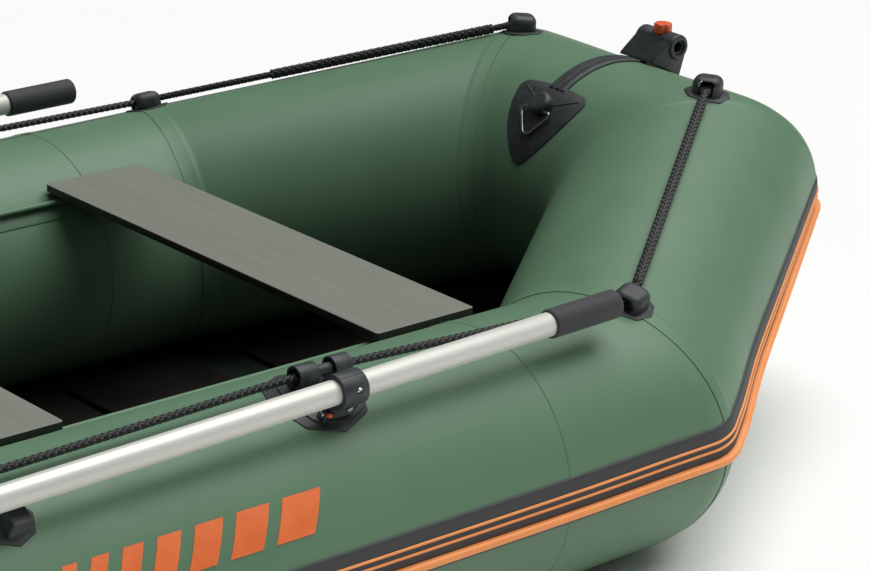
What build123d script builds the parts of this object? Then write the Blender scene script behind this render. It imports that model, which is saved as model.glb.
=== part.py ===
from build123d import *
import math
import os

# Inflatable rowing boat: mitred air tubes, slatted floor, two sliding benches, two oars in
# swivelling oarlocks, life lines, towing ring and anchor roller.  Millimetres, +X to the bow, +Z up,
# origin on the ground under the middle of the boat.  Starboard is -Y.

# ---- driving dimensions ----
TUBE_R = 185.0                 # air tube, outside radius
FABRIC = 1.2                   # coated fabric thickness
HALF_BEAM = 500.0              # centre line of the boat to a side tube's axis
BOW_KNEE_X = 722.0             # where the side tube turns into the bow quarter
BOW_END = (1198.0, 180.0, 310.0)      # where the bow quarter meets the bow tube
STERN_KNEE_X = -880.0
STERN_END = (-1198.0, 250.0, 205.0)
REACH = 450.0                  # spare length before a mitre is cut
BENCH = (170.0, 764.0, 11.0)
BENCH_Z = 332.5                # underside of a bench
BENCH_FRONT_X = 513.0          # middle of the front bench
BENCH_REAR_X = -155.0
RAIL_ANGLE = 46.0              # seat rail, degrees inboard of the tube's top
RAIL_RISE = 10.0               # rail bead centre above the tube's skin
RAIL_BEAD_R = 4.0
RAIL_ENDS = (-700.0, 612.0)
ROPE_R = 4.75
SPLICE_R = 7.0
STERN_GUIDE_ANGLE = 12.0       # rope guide at the stern knee, degrees outboard of the top
KNEE_GUIDE = (22.0, 13.0)      # ahead of the bow knee, degrees outboard of the top
BOW_GUIDE = (205.0, 3.5)       # off the middle of the bow tube, degrees ahead of the top
GUIDE_RISE = 12.0              # rope axis above the tube's skin in a guide
LOCK_X = 190.0                 # oarlock's place along the boat
LOCK_ANGLE = 26.5              # oarlock post, degrees outboard of the top
SLEEVE_ANGLE = 8.0             # oarlock rope sleeves
SLEEVE_RISE = 22.0
PIN_Z = 14.5                   # height of the oarlock's tilt axis over the skin
SHAFT_Z = 50.0                 # height of the oar shaft's axis over the skin
OAR_TURN = 1.5                 # degrees that the stowed oar points inboard
SHAFT_R = 16.0
INBOARD = 462.0                # clamp centre to the grip's end
PORT_OAR_SLIDE = -30.0         # the port oar sits this much further aft in its clamp
OAR_LENGTH = 1600.0
RUN_FIT = 0.05                 # radial clearance of a running fit
GAP = 0.5                      # clearance between pieces that pass each other

os.makedirs("parts", exist_ok=True)
UP = Vector(0, 0, 1)
BOW_KNEE = (BOW_KNEE_X, HALF_BEAM, TUBE_R)
STERN_KNEE = (STERN_KNEE_X, HALF_BEAM, TUBE_R)


def port(point):
    return Vector(*point)


def starboard(point):
    return Vector(point[0], -point[1], point[2])


# the ring of tube axes, anticlockwise from above
RING = [starboard(STERN_KNEE), starboard(BOW_KNEE), starboard(BOW_END), port(BOW_END),
        port(BOW_KNEE), port(STERN_KNEE), port(STERN_END), starboard(STERN_END)]
NAMES = ["tube_starboard", "bow_quarter_starboard", "tube_bow", "bow_quarter_port",
         "tube_port", "stern_quarter_port", "tube_stern", "stern_quarter_starboard"]
COUNT = len(RING)


def direction(i):
    return (RING[(i + 1) % COUNT] - RING[i % COUNT]).normalized()


def outward(i):
    return direction(i).cross(UP).normalized()


def crown(i):
    return outward(i).cross(direction(i)).normalized()


def mitred(profile, i):
    """A profile (x outward, y upward, about the tube's axis) run along tube i, mitred at both ends."""
    a, b, d = RING[i], RING[(i + 1) % COUNT], direction(i)
    plane = Plane(origin=b + d * REACH, x_dir=outward(i), z_dir=d * -1)
    solid = extrude(plane * profile, amount=(b - a).length + 2 * REACH)
    first = (direction(i - 1) + d).normalized()
    last = (d + direction(i + 1)).normalized()
    solid = split(solid, bisect_by=Plane(origin=a, z_dir=first), keep=Keep.TOP)
    return split(solid, bisect_by=Plane(origin=b, z_dir=last * -1), keep=Keep.TOP)


def full_tube(i, grow=0.0):
    return mitred(Circle(TUBE_R + grow), i)


def save(name, *solids):
    shapes = [s for shape in solids for s in shape.solids()]
    export_step(shapes[0] if len(shapes) == 1 else Compound(children=shapes), f"parts/{name}.step")


def both(solid):
    """The starboard solid and its mirror image to port."""
    return [solid, mirror(solid, about=Plane.XZ)]


def save_sides(name, solid):
    for side, shape in zip(("starboard", "port"), both(solid)):
        save(f"{name}_{side}", shape)


def skin_frame(i, point, angle):
    """A plane on tube i's skin: z along the skin's outward normal, x along the tube."""
    d = direction(i)
    normal = crown(i) * math.cos(math.radians(angle)) + outward(i) * math.sin(math.radians(angle))
    foot = RING[i] + d * (point - RING[i]).dot(d) + normal * TUBE_R
    return Plane(origin=foot, x_dir=d, z_dir=normal)


def at(plane, solid):
    return plane.location * solid


def rod(a, b, radius):
    """A round bar from a to b."""
    a, b = Vector(a), Vector(b)
    return extrude(Plane(origin=a, z_dir=(b - a).normalized()) * Circle(radius), amount=(b - a).length)


def pipe(a, b, outer, inner):
    a, b = Vector(a), Vector(b)
    ring = Circle(outer) - Circle(inner)
    return extrude(Plane(origin=a, z_dir=(b - a).normalized()) * ring, amount=(b - a).length)


def block(x0, x1, y0, y1, z0, z1):
    return Pos((x0 + x1) / 2, (y0 + y1) / 2, (z0 + z1) / 2) * Box(x1 - x0, y1 - y0, z1 - z0)


VALVE_X = -760.0               # inflation valves, on the inboard side of the tubes
VALVE_ANGLE = -62.0
VALVE_NECK_R = 17.0
SOLID_TUBES = [full_tube(i) for i in range(COUNT)]


# ---- air tubes, mitred at the corners, and the bulkheads that part their air chambers ----
BULKHEADS_X = (515.0, -560.0)
BULKHEAD_GAP = 0.1


def make_tubes():
    wall = Circle(TUBE_R) - Circle(TUBE_R - FABRIC)
    for i, name in enumerate(NAMES):
        tube = mitred(wall, i)
        if name in ("tube_starboard", "tube_port"):
            hole = at(valve_frame(), rod((0, 0, -40), (0, 0, 40), VALVE_NECK_R))
            for cutter in both(hole):
                tube = tube - cutter
        save(name, tube)
    discs = []
    for side in (-1, 1):
        for x in BULKHEADS_X:
            a = (x, side * HALF_BEAM, TUBE_R)
            b = (x + FABRIC, side * HALF_BEAM, TUBE_R)
            discs.append(rod(a, b, TUBE_R - FABRIC - BULKHEAD_GAP))
    save("bulkheads", *discs)


# ---- bottom skin and floor boards ----
SKIN_Z = 10.0
SHEET_HALF = 470.0             # half width that the bottom skin is cut from
BOARD = (225.0, 740.0, 9.0)
BOARD_PITCH = 240.0
BOARD_FIRST_X = -640.0
BOARD_COUNT = 6
BOARD_CORNER_R = 18.0
BOW_BOARD = ((30, -345), (30, 345), (215, 215), (215, -215))     # outline ahead of the bow knee
BOW_BOARD_LIFT = 0.3
BOW_SLOPE = (BOW_END[2] - TUBE_R) / (BOW_END[0] - BOW_KNEE_X)


def make_floor():
    low = [(STERN_END[0], SKIN_Z + STERN_END[2] - TUBE_R), (STERN_KNEE_X, SKIN_Z),
           (BOW_KNEE_X, SKIN_Z), (BOW_END[0], SKIN_Z + BOW_END[2] - TUBE_R)]
    outline = low + [(x, z + FABRIC) for x, z in reversed(low)]
    face = make_face(Polyline(*outline, close=True))
    sheet = extrude(Plane.XZ * face, amount=SHEET_HALF, both=True)
    for tube in SOLID_TUBES:
        sheet = sheet - tube
    save("bottom_skin", max(sheet.solids(), key=lambda s: s.volume))
    top = SKIN_Z + FABRIC
    boards = []
    for n in range(BOARD_COUNT):
        x = BOARD_FIRST_X + n * BOARD_PITCH
        board = Pos(x, 0, top + BOARD[2] / 2) * Box(*BOARD)
        boards.append(fillet(board.edges().filter_by(Axis.Z), BOARD_CORNER_R))
    tilt = math.degrees(math.atan(BOW_SLOPE))
    shape = make_face(Polyline(*BOW_BOARD, close=True))
    board = extrude(fillet(shape.vertices(), BOARD_CORNER_R), amount=BOARD[2])
    boards.append(Pos(BOW_KNEE_X, 0, top) * Rot(0, -tilt, 0) * Pos(0, 0, BOW_BOARD_LIFT) * board)
    save("floor_boards", *boards)


# ---- rub strake: dark band with raised ribs and a bumper ----
BAND_THICK = 2.5
BAND_LOW, BAND_HIGH = -25.0, 37.0
RIB_HEIGHTS = (6.5, 17.0)
RIB_THICK = 2.0
RIB_WIDTH = 3.6
BUMPER_Y = -12.5
BUMPER_R = 5.6
BUMPER_PROUD = 6.2             # bumper's centre outside the tube's skin


def make_strake():
    window = Pos(TUBE_R, (BAND_LOW + BAND_HIGH) / 2) * Rectangle(60, BAND_HIGH - BAND_LOW)
    outer = TUBE_R + BAND_THICK
    band = (Circle(outer) - Circle(TUBE_R)) & window
    ribs = Sketch()
    for y in RIB_HEIGHTS:
        ring = Circle(outer + RIB_THICK) - Circle(outer)
        ribs += ring & (Pos(TUBE_R, y) * Rectangle(60, RIB_WIDTH))
    centre = math.sqrt((TUBE_R + BUMPER_PROUD) ** 2 - BUMPER_Y ** 2)
    bumper = Pos(centre, BUMPER_Y) * Circle(BUMPER_R)
    bumper += Pos(centre - 4, BUMPER_Y) * Rectangle(8, 2 * BUMPER_R)
    bumper = bumper - Circle(outer)
    ribs += bumper
    save("strake_band", *[mitred(band, i) for i in range(COUNT)])
    save("strake_ribs", *[s for i in range(COUNT) for s in mitred(ribs, i).solids()])


# ---- seat rails, benches and the slides that grip the rails ----
RAIL_WEB = 2.0
RAIL_FOOT = (1.5, 46.0)        # thickness and width of the rail's welded foot
SLIDE_WALL = 3.5
SLIDE_LENGTH = 60.0
SLIDE_SLOT = 3.4               # slot in the slide that passes the rail's web
SLIDE_PLATE = (8.0, 22.0, 4.0)     # plate under the bench: outboard, inboard, thickness
BENCH_CORNER_R = 5.0
BENCH_EDGE_R = 1.5


def rail_profile():
    turn = 90 + RAIL_ANGLE
    foot, bead = TUBE_R, TUBE_R + RAIL_RISE
    web = Pos((foot + bead) / 2, 0) * Rectangle(bead - foot + 4, RAIL_WEB)
    base = (Circle(TUBE_R + RAIL_FOOT[0]) - Circle(TUBE_R)) & (Pos(TUBE_R, 0) * Rectangle(40, RAIL_FOOT[1]))
    profile = web + Pos(bead, 0) * Circle(RAIL_BEAD_R) + base
    return Rot(0, 0, turn) * (profile - Circle(TUBE_R))


def side_run(profile, x0, x1, y_sign=-1):
    """A profile about the starboard tube's axis (x outward, y up), run from x0 to x1."""
    plane = Plane(origin=(x1, y_sign * HALF_BEAM, TUBE_R), x_dir=(0, y_sign, 0), z_dir=(-1, 0, 0))
    return extrude(plane * profile, amount=x1 - x0)


def make_benches():
    save_sides("seat_rail", side_run(rail_profile(), *RAIL_ENDS))
    bead = TUBE_R + RAIL_RISE
    bore = RAIL_BEAD_R + GAP
    angle = math.radians(RAIL_ANGLE)
    inboard = HALF_BEAM - bead * math.sin(angle)
    height = TUBE_R + bead * math.cos(angle)
    for name, x in (("front", BENCH_FRONT_X), ("rear", BENCH_REAR_X)):
        plank = Pos(x, 0, BENCH_Z + BENCH[2] / 2) * Box(*BENCH)
        plank = fillet(plank.edges().filter_by(Axis.Z), BENCH_CORNER_R)
        plank = fillet(plank.faces().sort_by(Axis.Z)[-1].edges(), BENCH_EDGE_R)
        save(f"bench_{name}", plank)
        grip = Circle(bore + SLIDE_WALL) - Circle(bore)
        slot = Rot(0, 0, 180) * Pos(bore + SLIDE_WALL / 2, 0) * Rectangle(SLIDE_WALL + 6, SLIDE_SLOT)
        grip = Pos(bead, 0) * (grip - slot)
        grip = side_run(Rot(0, 0, 90 + RAIL_ANGLE) * grip, x - SLIDE_LENGTH / 2, x + SLIDE_LENGTH / 2)
        plate = block(x - SLIDE_LENGTH / 2, x + SLIDE_LENGTH / 2, -inboard - SLIDE_PLATE[0],
                      -inboard + SLIDE_PLATE[1], BENCH_Z - SLIDE_PLATE[2], BENCH_Z)
        hole = rod((x - SLIDE_LENGTH, -inboard, height), (x + SLIDE_LENGTH, -inboard, height), bore)
        slide = (grip + plate) - hole
        save(f"bench_slides_{name}", *both(slide))


# ---- rope guides: a patch and a raised bridge with a tunnel for the rope ----
HOOD = (44.0, 44.0, 25.0)      # along the rope, across it, height over the skin
HOOD_CORNER_R = 15.0
HOOD_EDGE_R = 12.0
TUNNEL = (28.0, 17.0)          # tunnel's width and height
ARCH_HALF = 11.0               # half width of the opening under the tunnel, down to the patch
PATCH_R = 35.0
PATCH_THICK = 2.0


def knee_frame(i, angle):
    """A plane on the mitre between tubes i-1 and i: z outward, x along the bisector."""
    along = (direction(i - 1) + direction(i)).normalized()
    out = (outward(i - 1) + outward(i)).normalized()
    top = out.cross(along).normalized()
    out = along.cross(top).normalized()
    normal = top * math.cos(math.radians(angle)) + out * math.sin(math.radians(angle))
    return Plane(origin=RING[i % COUNT] + normal * TUBE_R, x_dir=along, z_dir=normal)


def turned(plane, way):
    """The same seat with its x along the rope's way."""
    return Plane(origin=plane.origin, x_dir=way, z_dir=plane.z_dir)


def guide_seats():
    """Starboard seats from stern to bow: (plane, tubes that it lies on)."""
    stern = turned(knee_frame(0, STERN_GUIDE_ANGLE), Vector(1, 0, 0))
    knee = skin_frame(1, RING[1] + direction(1) * KNEE_GUIDE[0], KNEE_GUIDE[1])
    knee = turned(knee, direction(0) + direction(1))
    bow = skin_frame(2, Vector(BOW_END[0], -BOW_GUIDE[0], BOW_END[2]), BOW_GUIDE[1])
    return [(stern, (COUNT - 1, 0)), (knee, (0, 1)), (turned(bow, direction(1)), (1, 2))]


def guide(plane, indices):
    """Octagonal patch curved to the two tubes, and the domed hood on it."""
    patch = at(plane, extrude(RegularPolygon(PATCH_R, 8), amount=40, both=True))
    patch = patch & (full_tube(indices[0], PATCH_THICK) + full_tube(indices[1], PATCH_THICK))
    hood = Pos(0, 0, HOOD[2] / 2 - 8) * Box(HOOD[0], HOOD[1], HOOD[2] + 16)
    hood = fillet(hood.edges().filter_by(Axis.Z), HOOD_CORNER_R)
    hood = fillet(hood.faces().sort_by(Axis.Z)[-1].edges(), HOOD_EDGE_R)
    hole = extrude(SlotOverall(TUNNEL[0], TUNNEL[1], 90), 60, both=True)
    hood = hood - Pos(0, 0, GUIDE_RISE) * Rot(0, 90, 0) * hole
    hood = at(plane, hood - block(-60, 60, -ARCH_HALF, ARCH_HALF, -20, GUIDE_RISE))
    for i in indices:
        patch = patch - SOLID_TUBES[i]
        hood = hood - full_tube(i, PATCH_THICK)
    return patch, max(hood.solids(), key=lambda s: s.volume)


def make_guides():
    patches, hoods = [], []
    for plane, indices in guide_seats():
        patch, hood = guide(plane, indices)
        patches += both(patch)
        hoods += both(hood)
    save("guide_patches", *patches)
    save("guide_bridges", *hoods)


# ---- life lines ----
TAIL = 16.0                    # the rope's end past the stern guide
SAG_POINT = (-340.0, 34.0, 9.5)    # x, outboard of the tube's axis, above the tube's top
SLEEVE_RUN = (-48.0, 72.0)     # rope runs straight through the oarlock from here to here
KNEE_BEND_R = 40.0
EASY_BEND_R = 1500.0
SPLICE_ENDS = (34.0, 34.0)     # splice starts this far from the knee guide and the bow-end guide


def lock_point(x):
    angle = math.radians(SLEEVE_ANGLE)
    radius = TUBE_R + SLEEVE_RISE
    return Vector(x, -HALF_BEAM - radius * math.sin(angle), TUBE_R + radius * math.cos(angle))


def make_lifelines():
    stern, knee, bow = [plane.origin + plane.z_dir * GUIDE_RISE for plane, _ in guide_seats()]
    tail = stern - Vector(TAIL, 0, 0)
    aft = Vector(SAG_POINT[0], -HALF_BEAM - SAG_POINT[1], TUBE_R * 2 + SAG_POINT[2])
    points = [tail, aft, lock_point(LOCK_X + SLEEVE_RUN[0]), lock_point(LOCK_X + SLEEVE_RUN[1]), knee, bow]
    runs = [(b - a).length for a, b in zip(points, points[1:])]
    bend_radius = []
    for k in range(1, len(points) - 1):
        turn = (points[k] - points[k - 1]).get_angle(points[k + 1] - points[k])
        widest = 0.45 * min(runs[k - 1], runs[k]) / math.tan(math.radians(turn) / 2)
        bend_radius.append(KNEE_BEND_R if k == 4 else min(widest, EASY_BEND_R))
    path = FilletPolyline(*points, radius=bend_radius)
    start = Plane(origin=path @ 0, z_dir=path % 0)
    rope = sweep(start * Circle(ROPE_R), path=path)
    save_sides("lifeline", rope)
    d = (bow - knee).normalized()
    splice = pipe(knee + d * SPLICE_ENDS[0], bow - d * SPLICE_ENDS[1], SPLICE_R, ROPE_R)
    save("rope_splices", *both(splice))


# ---- towing patch, boss, D-ring, and the strap over the bow tube ----
PATCH_ANGLE = -51.0            # middle of the towing patch, degrees inboard of the bow tube's top
PATCH_CORNERS = ((-72, -58), (72, -58), (0, 76))
PATCH_BULGES = ((0, -66), (50, 14), (-50, 14))      # middle of the bowed side after each corner
PATCH_CORNER_R = 16.0
TOWING_PATCH_THICK = 2.2
BOSS_ANGLE = -43.5
BOSS_R = 19.0
BOSS_TOP = 18.0
BOSS_EDGE_R = 8.0
RING_BAR = (11.0, 9.0)         # the ring's bar in the boss: down the patch, above the skin
RING_WIRE = 2.3
RING_DROOP = 14.0              # the ring leans in from the bar until it lies on the patch
RING_HALF, RING_TIP_HALF = 28.0, 6.0
RING_SIDE, RING_DROP = 8.0, 40.0
RING_BENDS = (3.6, 5, 8, 8, 5, 3.6)
STRAP_THICK = 4.5
STRAP_WIDTH = 34.0


def bow_seat(angle):
    """Skin frame on the middle of the bow tube, and the sign of local y that points down the slope."""
    seat = skin_frame(2, Vector(BOW_END[0], 0, BOW_END[2]), angle)
    return seat, (1 if seat.y_dir.Z < 0 else -1)


def towing_ring(seat, down):
    bar_y, bar_z = RING_BAR[0] * down, RING_BAR[1]
    shoulder = bar_y + RING_SIDE * down
    low = bar_y + RING_DROP * down
    loop = FilletPolyline((RING_HALF, bar_y), (RING_HALF, shoulder), (RING_TIP_HALF, low),
                          (-RING_TIP_HALF, low), (-RING_HALF, shoulder), (-RING_HALF, bar_y),
                          radius=list(RING_BENDS), close=True)
    wire = sweep(Plane(origin=loop @ 0, z_dir=loop % 0) * Circle(RING_WIRE), path=loop)
    droop = Pos(0, bar_y, bar_z) * Rot(-RING_DROOP * down, 0, 0) * Pos(0, -bar_y, 0)
    return at(seat, droop * wire)


def make_towing():
    plane, down = bow_seat(PATCH_ANGLE)
    corners = [(x, y * down) for x, y in PATCH_CORNERS]
    bulges = [(x, y * down) for x, y in PATCH_BULGES]
    sides = [ThreePointArc(corners[k], bulges[k], corners[(k + 1) % 3]) for k in range(3)]
    outline = make_face(Curve() + sides)
    outline = fillet(outline.vertices(), PATCH_CORNER_R)
    prism = at(plane, extrude(outline, amount=60, both=True))
    patch = (prism & full_tube(2, TOWING_PATCH_THICK)) - SOLID_TUBES[2]
    save("towing_patch", max(patch.solids(), key=lambda s: s.volume))

    seat, down = bow_seat(BOSS_ANGLE)
    boss = Pos(0, 0, BOSS_TOP - 10) * Cylinder(BOSS_R, 20)
    boss = fillet(boss.edges().filter_by(GeomType.CIRCLE).sort_by(Axis.Z)[-1], BOSS_EDGE_R)
    bar_y, bar_z = RING_BAR[0] * down, RING_BAR[1]
    bore = rod((-40, bar_y, bar_z), (40, bar_y, bar_z), RING_WIRE + RUN_FIT)
    boss = at(seat, boss - bore) - full_tube(2, TOWING_PATCH_THICK)
    save("towing_boss", max(boss.solids(), key=lambda s: s.volume))
    save("towing_ring", towing_ring(seat, down))

    strip = (Circle(TUBE_R + STRAP_THICK) - Circle(TUBE_R)) & (Pos(0, TUBE_R) * Rectangle(300, 200))
    wedge = make_face(Polyline((0, 0), (-280, 300), (120, 300), close=True))
    plane = Plane(origin=(BOW_END[0], STRAP_WIDTH / 2, BOW_END[2]), x_dir=(1, 0, 0), z_dir=(0, -1, 0))
    strap = extrude(plane * (strip & wedge), amount=STRAP_WIDTH) - prism
    save("bow_strap", max(strap.solids(), key=lambda s: s.volume))


# ---- anchor roller on the bow: the line runs through a barrel lined with a turning sleeve ----
ROLLER_ANGLE = 29.0            # degrees ahead of the bow tube's top
BARREL_RISE = 42.0             # barrel's axis over the skin
BARREL_R = 20.0
BARREL_EDGE_R = 4.0
BARREL_ENDS = (-46.0, 34.0)    # starboard and port end
SADDLE = ((-36, -14), (-36, 6), (-19, 44), (19, 44), (27, 6), (27, -14))   # up the slope, height
SADDLE_INSET = 3.0
BORE_R = 12.5
LINE_R = 8.5                   # bore of the turning sleeve, for the anchor line
SLEEVE_INSET = 3.0
KNOB_Y = -8.0
KNOB_STEM_R = 6.0
KNOB_POCKET_R = 15.5
KNOB_HEIGHTS = (13.0, 16.0, 31.0)      # stem's end, head's underside and top, over the barrel's axis
KNOB_R = 14.0
KNOB_NOTCHES = 6
KNOB_NOTCH_R = 4.5


def make_roller():
    seat, down = bow_seat(ROLLER_ANGLE)
    starboard_end, port_end = BARREL_ENDS
    barrel = Pos((starboard_end + port_end) / 2, 0, BARREL_RISE) * Rot(0, 90, 0) * Cylinder(
        BARREL_R, port_end - starboard_end)
    barrel = fillet(barrel.edges().filter_by(GeomType.CIRCLE), BARREL_EDGE_R)
    outline = make_face(Polyline(*[(-y * down, z) for y, z in SADDLE], close=True))
    outline = Plane(origin=(port_end - SADDLE_INSET, 0, 0), x_dir=(0, -1, 0), z_dir=(-1, 0, 0)) * outline
    saddle = extrude(outline, amount=port_end - starboard_end - 2 * SADDLE_INSET)
    body = at(seat, barrel + saddle) - full_tube(2, STRAP_THICK)
    axis = seat.from_local_coords(Vector(0, 0, BARREL_RISE))

    def athwart(y0, y1, radius):
        return rod((axis.X, y0, axis.Z), (axis.X, y1, axis.Z), radius)

    def upright(z0, z1, radius):
        return rod((axis.X, KNOB_Y, axis.Z + z0), (axis.X, KNOB_Y, axis.Z + z1), radius)

    low, under, top = KNOB_HEIGHTS
    body = body - athwart(-90, 90, BORE_R)
    body = body - upright(0, 60, KNOB_STEM_R + RUN_FIT) - upright(under - GAP, 60, KNOB_POCKET_R)
    save("roller_housing", max(body.solids(), key=lambda s: s.volume))
    sleeve_ends = (starboard_end + SLEEVE_INSET, port_end - SLEEVE_INSET)
    save("roller", athwart(*sleeve_ends, BORE_R - RUN_FIT) - athwart(-90, 90, LINE_R))
    head = upright(under, top, KNOB_R)
    head = fillet(head.edges().filter_by(GeomType.CIRCLE), 2)
    for turn in range(KNOB_NOTCHES):
        angle = math.radians(360 / KNOB_NOTCHES * turn)
        x = axis.X + (KNOB_R + 2) * math.cos(angle)
        y = KNOB_Y + (KNOB_R + 2) * math.sin(angle)
        head = head - rod((x, y, axis.Z), (x, y, axis.Z + 60), KNOB_NOTCH_R)
    save("roller_knob", upright(low, under + 1, KNOB_STEM_R) + head)


# ---- oarlocks and oars; local frame: x to the bow, y inboard along the skin, z out of the tube ----
LOCK_PATCH = (68.0, 1.5, 2.0, 42.0)        # octagon's radius, thickness, and its middle's x and y
LOCK_PLATE = (55.0, 3.6, 9.0, 39.0)
OCTAGON_CORNER_R = 8.0
SLEEVE_R = 15.0
SLEEVE_BORE = 12.0
SLEEVES_X = ((-20.0, 10.0), (36.0, 62.0))  # the aft and the forward sleeve
SLEEVE_FOOT = (4.0, 10.5)      # the foot's inset from the sleeve's ends and its half width
LINER = (8.0, 5.6, -12.0, 54.0)    # the rope's own tube through both sleeves: radii and ends
WEB_WIDTH = 5.0                # web that holds the tube in each sleeve
WEB_R = SLEEVE_BORE + 1.0
ROCKER_HALF = 17.5
ROCKER_R = 10.0
ROCKER_WIDTH = 13.0
ROCKER_TOP = 23.0
EAR = (6.0, 6.5)               # ear's thickness and half width
PIN_R = 3.0
PIN_HEAD_R = 5.0
PIN_X = (10.0, 25.0, 27.5)     # pin's inner end, shank end and head end
BUTTON_R = 3.0
BUTTON_AT = (-9.3, 18.7)       # press button's y and z in the rocker
BUTTON_X = (-23.0, -12.5)
STEM_R = 6.0
CLAMP_R = 22.5
CLAMP_HALF = 19.0
CLAMP_LOBE = 15.0
CLAMP_LOW = ROCKER_TOP + 0.8


def lock_frame():
    return skin_frame(0, Vector(LOCK_X, -HALF_BEAM, TUBE_R), LOCK_ANGLE)


LOCK = lock_frame()


def lock_pad(size):
    """An octagonal pad on the skin at the oarlock."""
    radius, thick, x, y = size
    outline = RegularPolygon(radius, 8)
    outline = fillet(outline.vertices(), OCTAGON_CORNER_R)
    return at(LOCK, Pos(x, y, 0) * extrude(outline, 60, both=True)) & full_tube(0, thick)


def make_oarlock_base():
    patch = lock_pad(LOCK_PATCH) - SOLID_TUBES[0]
    save("oarlock_patches", *both(max(patch.solids(), key=lambda s: s.volume)))
    centre = LOCK.to_local_coords(lock_point(LOCK_X))
    y, z = centre.Y, centre.Z
    parts = Part()
    webs = Part()
    inset, half = SLEEVE_FOOT
    for near, far in SLEEVES_X:
        parts += rod((near, y, z), (far, y, z), SLEEVE_R)
        parts += block(near + inset, far - inset, y - half, y + half, -16, z)
        middle = (near + far) / 2
        webs += pipe((middle - WEB_WIDTH / 2, y, z), (middle + WEB_WIDTH / 2, y, z), WEB_R, LINER[0] - 1)
    for side in (-1, 1):
        ear = block(-EAR[0] / 2, EAR[0] / 2, -EAR[1], EAR[1], -4, PIN_Z)
        ear += rod((-EAR[0] / 2, 0, PIN_Z), (EAR[0] / 2, 0, PIN_Z), EAR[1])
        parts += Pos(side * (ROCKER_HALF + GAP + EAR[0] / 2), 0, 0) * ear
    parts = parts - rod((-90, y, z), (90, y, z), SLEEVE_BORE)
    parts = parts + webs + pipe((LINER[2], y, z), (LINER[3], y, z), LINER[0], LINER[1])
    parts = parts - rod((-90, y, z), (90, y, z), LINER[1])
    parts = parts - rod((-40, 0, PIN_Z), (40, 0, PIN_Z), PIN_R)
    base = lock_pad(LOCK_PLATE) + at(LOCK, parts)
    base = base - full_tube(0, LOCK_PATCH[1])
    save_sides("oarlock_base", max(base.solids(), key=lambda s: s.volume))


def make_rocker():
    pins = []
    for side in (-1, 1):
        shank = rod((side * PIN_X[0], 0, PIN_Z), (side * PIN_X[1], 0, PIN_Z), PIN_R)
        head = rod((side * (ROCKER_HALF + GAP + EAR[0]), 0, PIN_Z), (side * PIN_X[2], 0, PIN_Z), PIN_HEAD_R)
        pins += both(at(LOCK, shank + head))
    save("tilt_pins", *pins)
    rocker = rod((-ROCKER_HALF, 0, PIN_Z), (ROCKER_HALF, 0, PIN_Z), ROCKER_R)
    rocker += block(-ROCKER_HALF, ROCKER_HALF, -ROCKER_WIDTH, ROCKER_WIDTH, PIN_Z, ROCKER_TOP)
    rocker = rocker - block(-30, 30, -30, 30, ROCKER_TOP, 40)
    rocker = rocker - rod((0, 0, 0), (0, 0, 40), STEM_R + RUN_FIT)
    for side in (-1, 1):
        hole_end = PIN_X[0] - GAP
        rocker = rocker - rod((side * hole_end, 0, PIN_Z), (side * 20, 0, PIN_Z), PIN_R + RUN_FIT)
    y, z = BUTTON_AT
    pocket = rod((-20, y, z), (BUTTON_X[1] + 3.5, y, z), BUTTON_R + RUN_FIT)
    save_sides("oarlock_rocker", at(LOCK, rocker - pocket))
    button = rod((BUTTON_X[0], y, z), (BUTTON_X[1], y, z), BUTTON_R)
    button = fillet(button.edges().filter_by(GeomType.CIRCLE).sort_by(Axis.X)[0], 1)
    save_sides("lock_button", at(LOCK, button))


def oar_location():
    """The oar's own frame: x along the shaft to the grip, origin at the clamp's centre."""
    return LOCK.location * Rot(0, 0, OAR_TURN)


SPLIT_GAP = 0.3                # half the gap between the clamp's halves
STEP_Z = (34.5, 33.9)          # where the cover and the inner half step past each other
LAP_Y = (-9.5, -8.9)
SCREW_X = 3.0
SCREW_R, SCREW_HEAD_R = 2.5, 4.2
# each screw: height, head's outer face, head's seat, shank's end
SCREWS = ((63.0, -19.0, -16.2, -12.6), (28.2, -17.4, -15.2, -10.0))
STEM_BOTTOM = 8.0


def make_clamp():
    place = oar_location()
    ring = rod((-CLAMP_HALF, 0, SHAFT_Z), (CLAMP_HALF, 0, SHAFT_Z), CLAMP_R)
    lobe = block(-CLAMP_HALF, CLAMP_HALF, -CLAMP_LOBE, CLAMP_LOBE, CLAMP_LOW, SHAFT_Z)
    body = ring + lobe
    body = fillet(body.edges().filter_by(Axis.Z).group_by(Axis.Z)[0], 4)
    body = body - rod((-40, 0, SHAFT_Z), (40, 0, SHAFT_Z), SHAFT_R)
    cover_zone = block(-40, 40, -40, -SPLIT_GAP, STEP_Z[0], 90)
    cover_zone += block(-40, 40, -40, LAP_Y[0], CLAMP_LOW - 1, STEP_Z[0])
    inner_zone = block(-40, 40, SPLIT_GAP, 40, 0, 90) + block(-40, 40, LAP_Y[1], 1, 0, STEP_Z[1])
    screws, holes = Part(), Part()
    for z, face, head_seat, end in SCREWS:
        shank = rod((SCREW_X, head_seat, z), (SCREW_X, end, z), SCREW_R)
        screws += shank + rod((SCREW_X, face, z), (SCREW_X, head_seat, z), SCREW_HEAD_R)
        holes += shank + rod((SCREW_X, -40, z), (SCREW_X, head_seat, z), SCREW_HEAD_R)
    cover = (body & cover_zone) - holes
    inner = (body & inner_zone) + rod((0, 0, STEM_BOTTOM), (0, 0, CLAMP_LOW + 2), STEM_R)
    save_sides("clamp_inner", place * max(inner.solids(), key=lambda s: s.volume))
    save_sides("clamp_cover", place * max(cover.solids(), key=lambda s: s.volume))
    for side, compound in zip(("starboard", "port"), zip(*[both(place * s) for s in screws.solids()])):
        save(f"clamp_screws_{side}", *compound)


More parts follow.
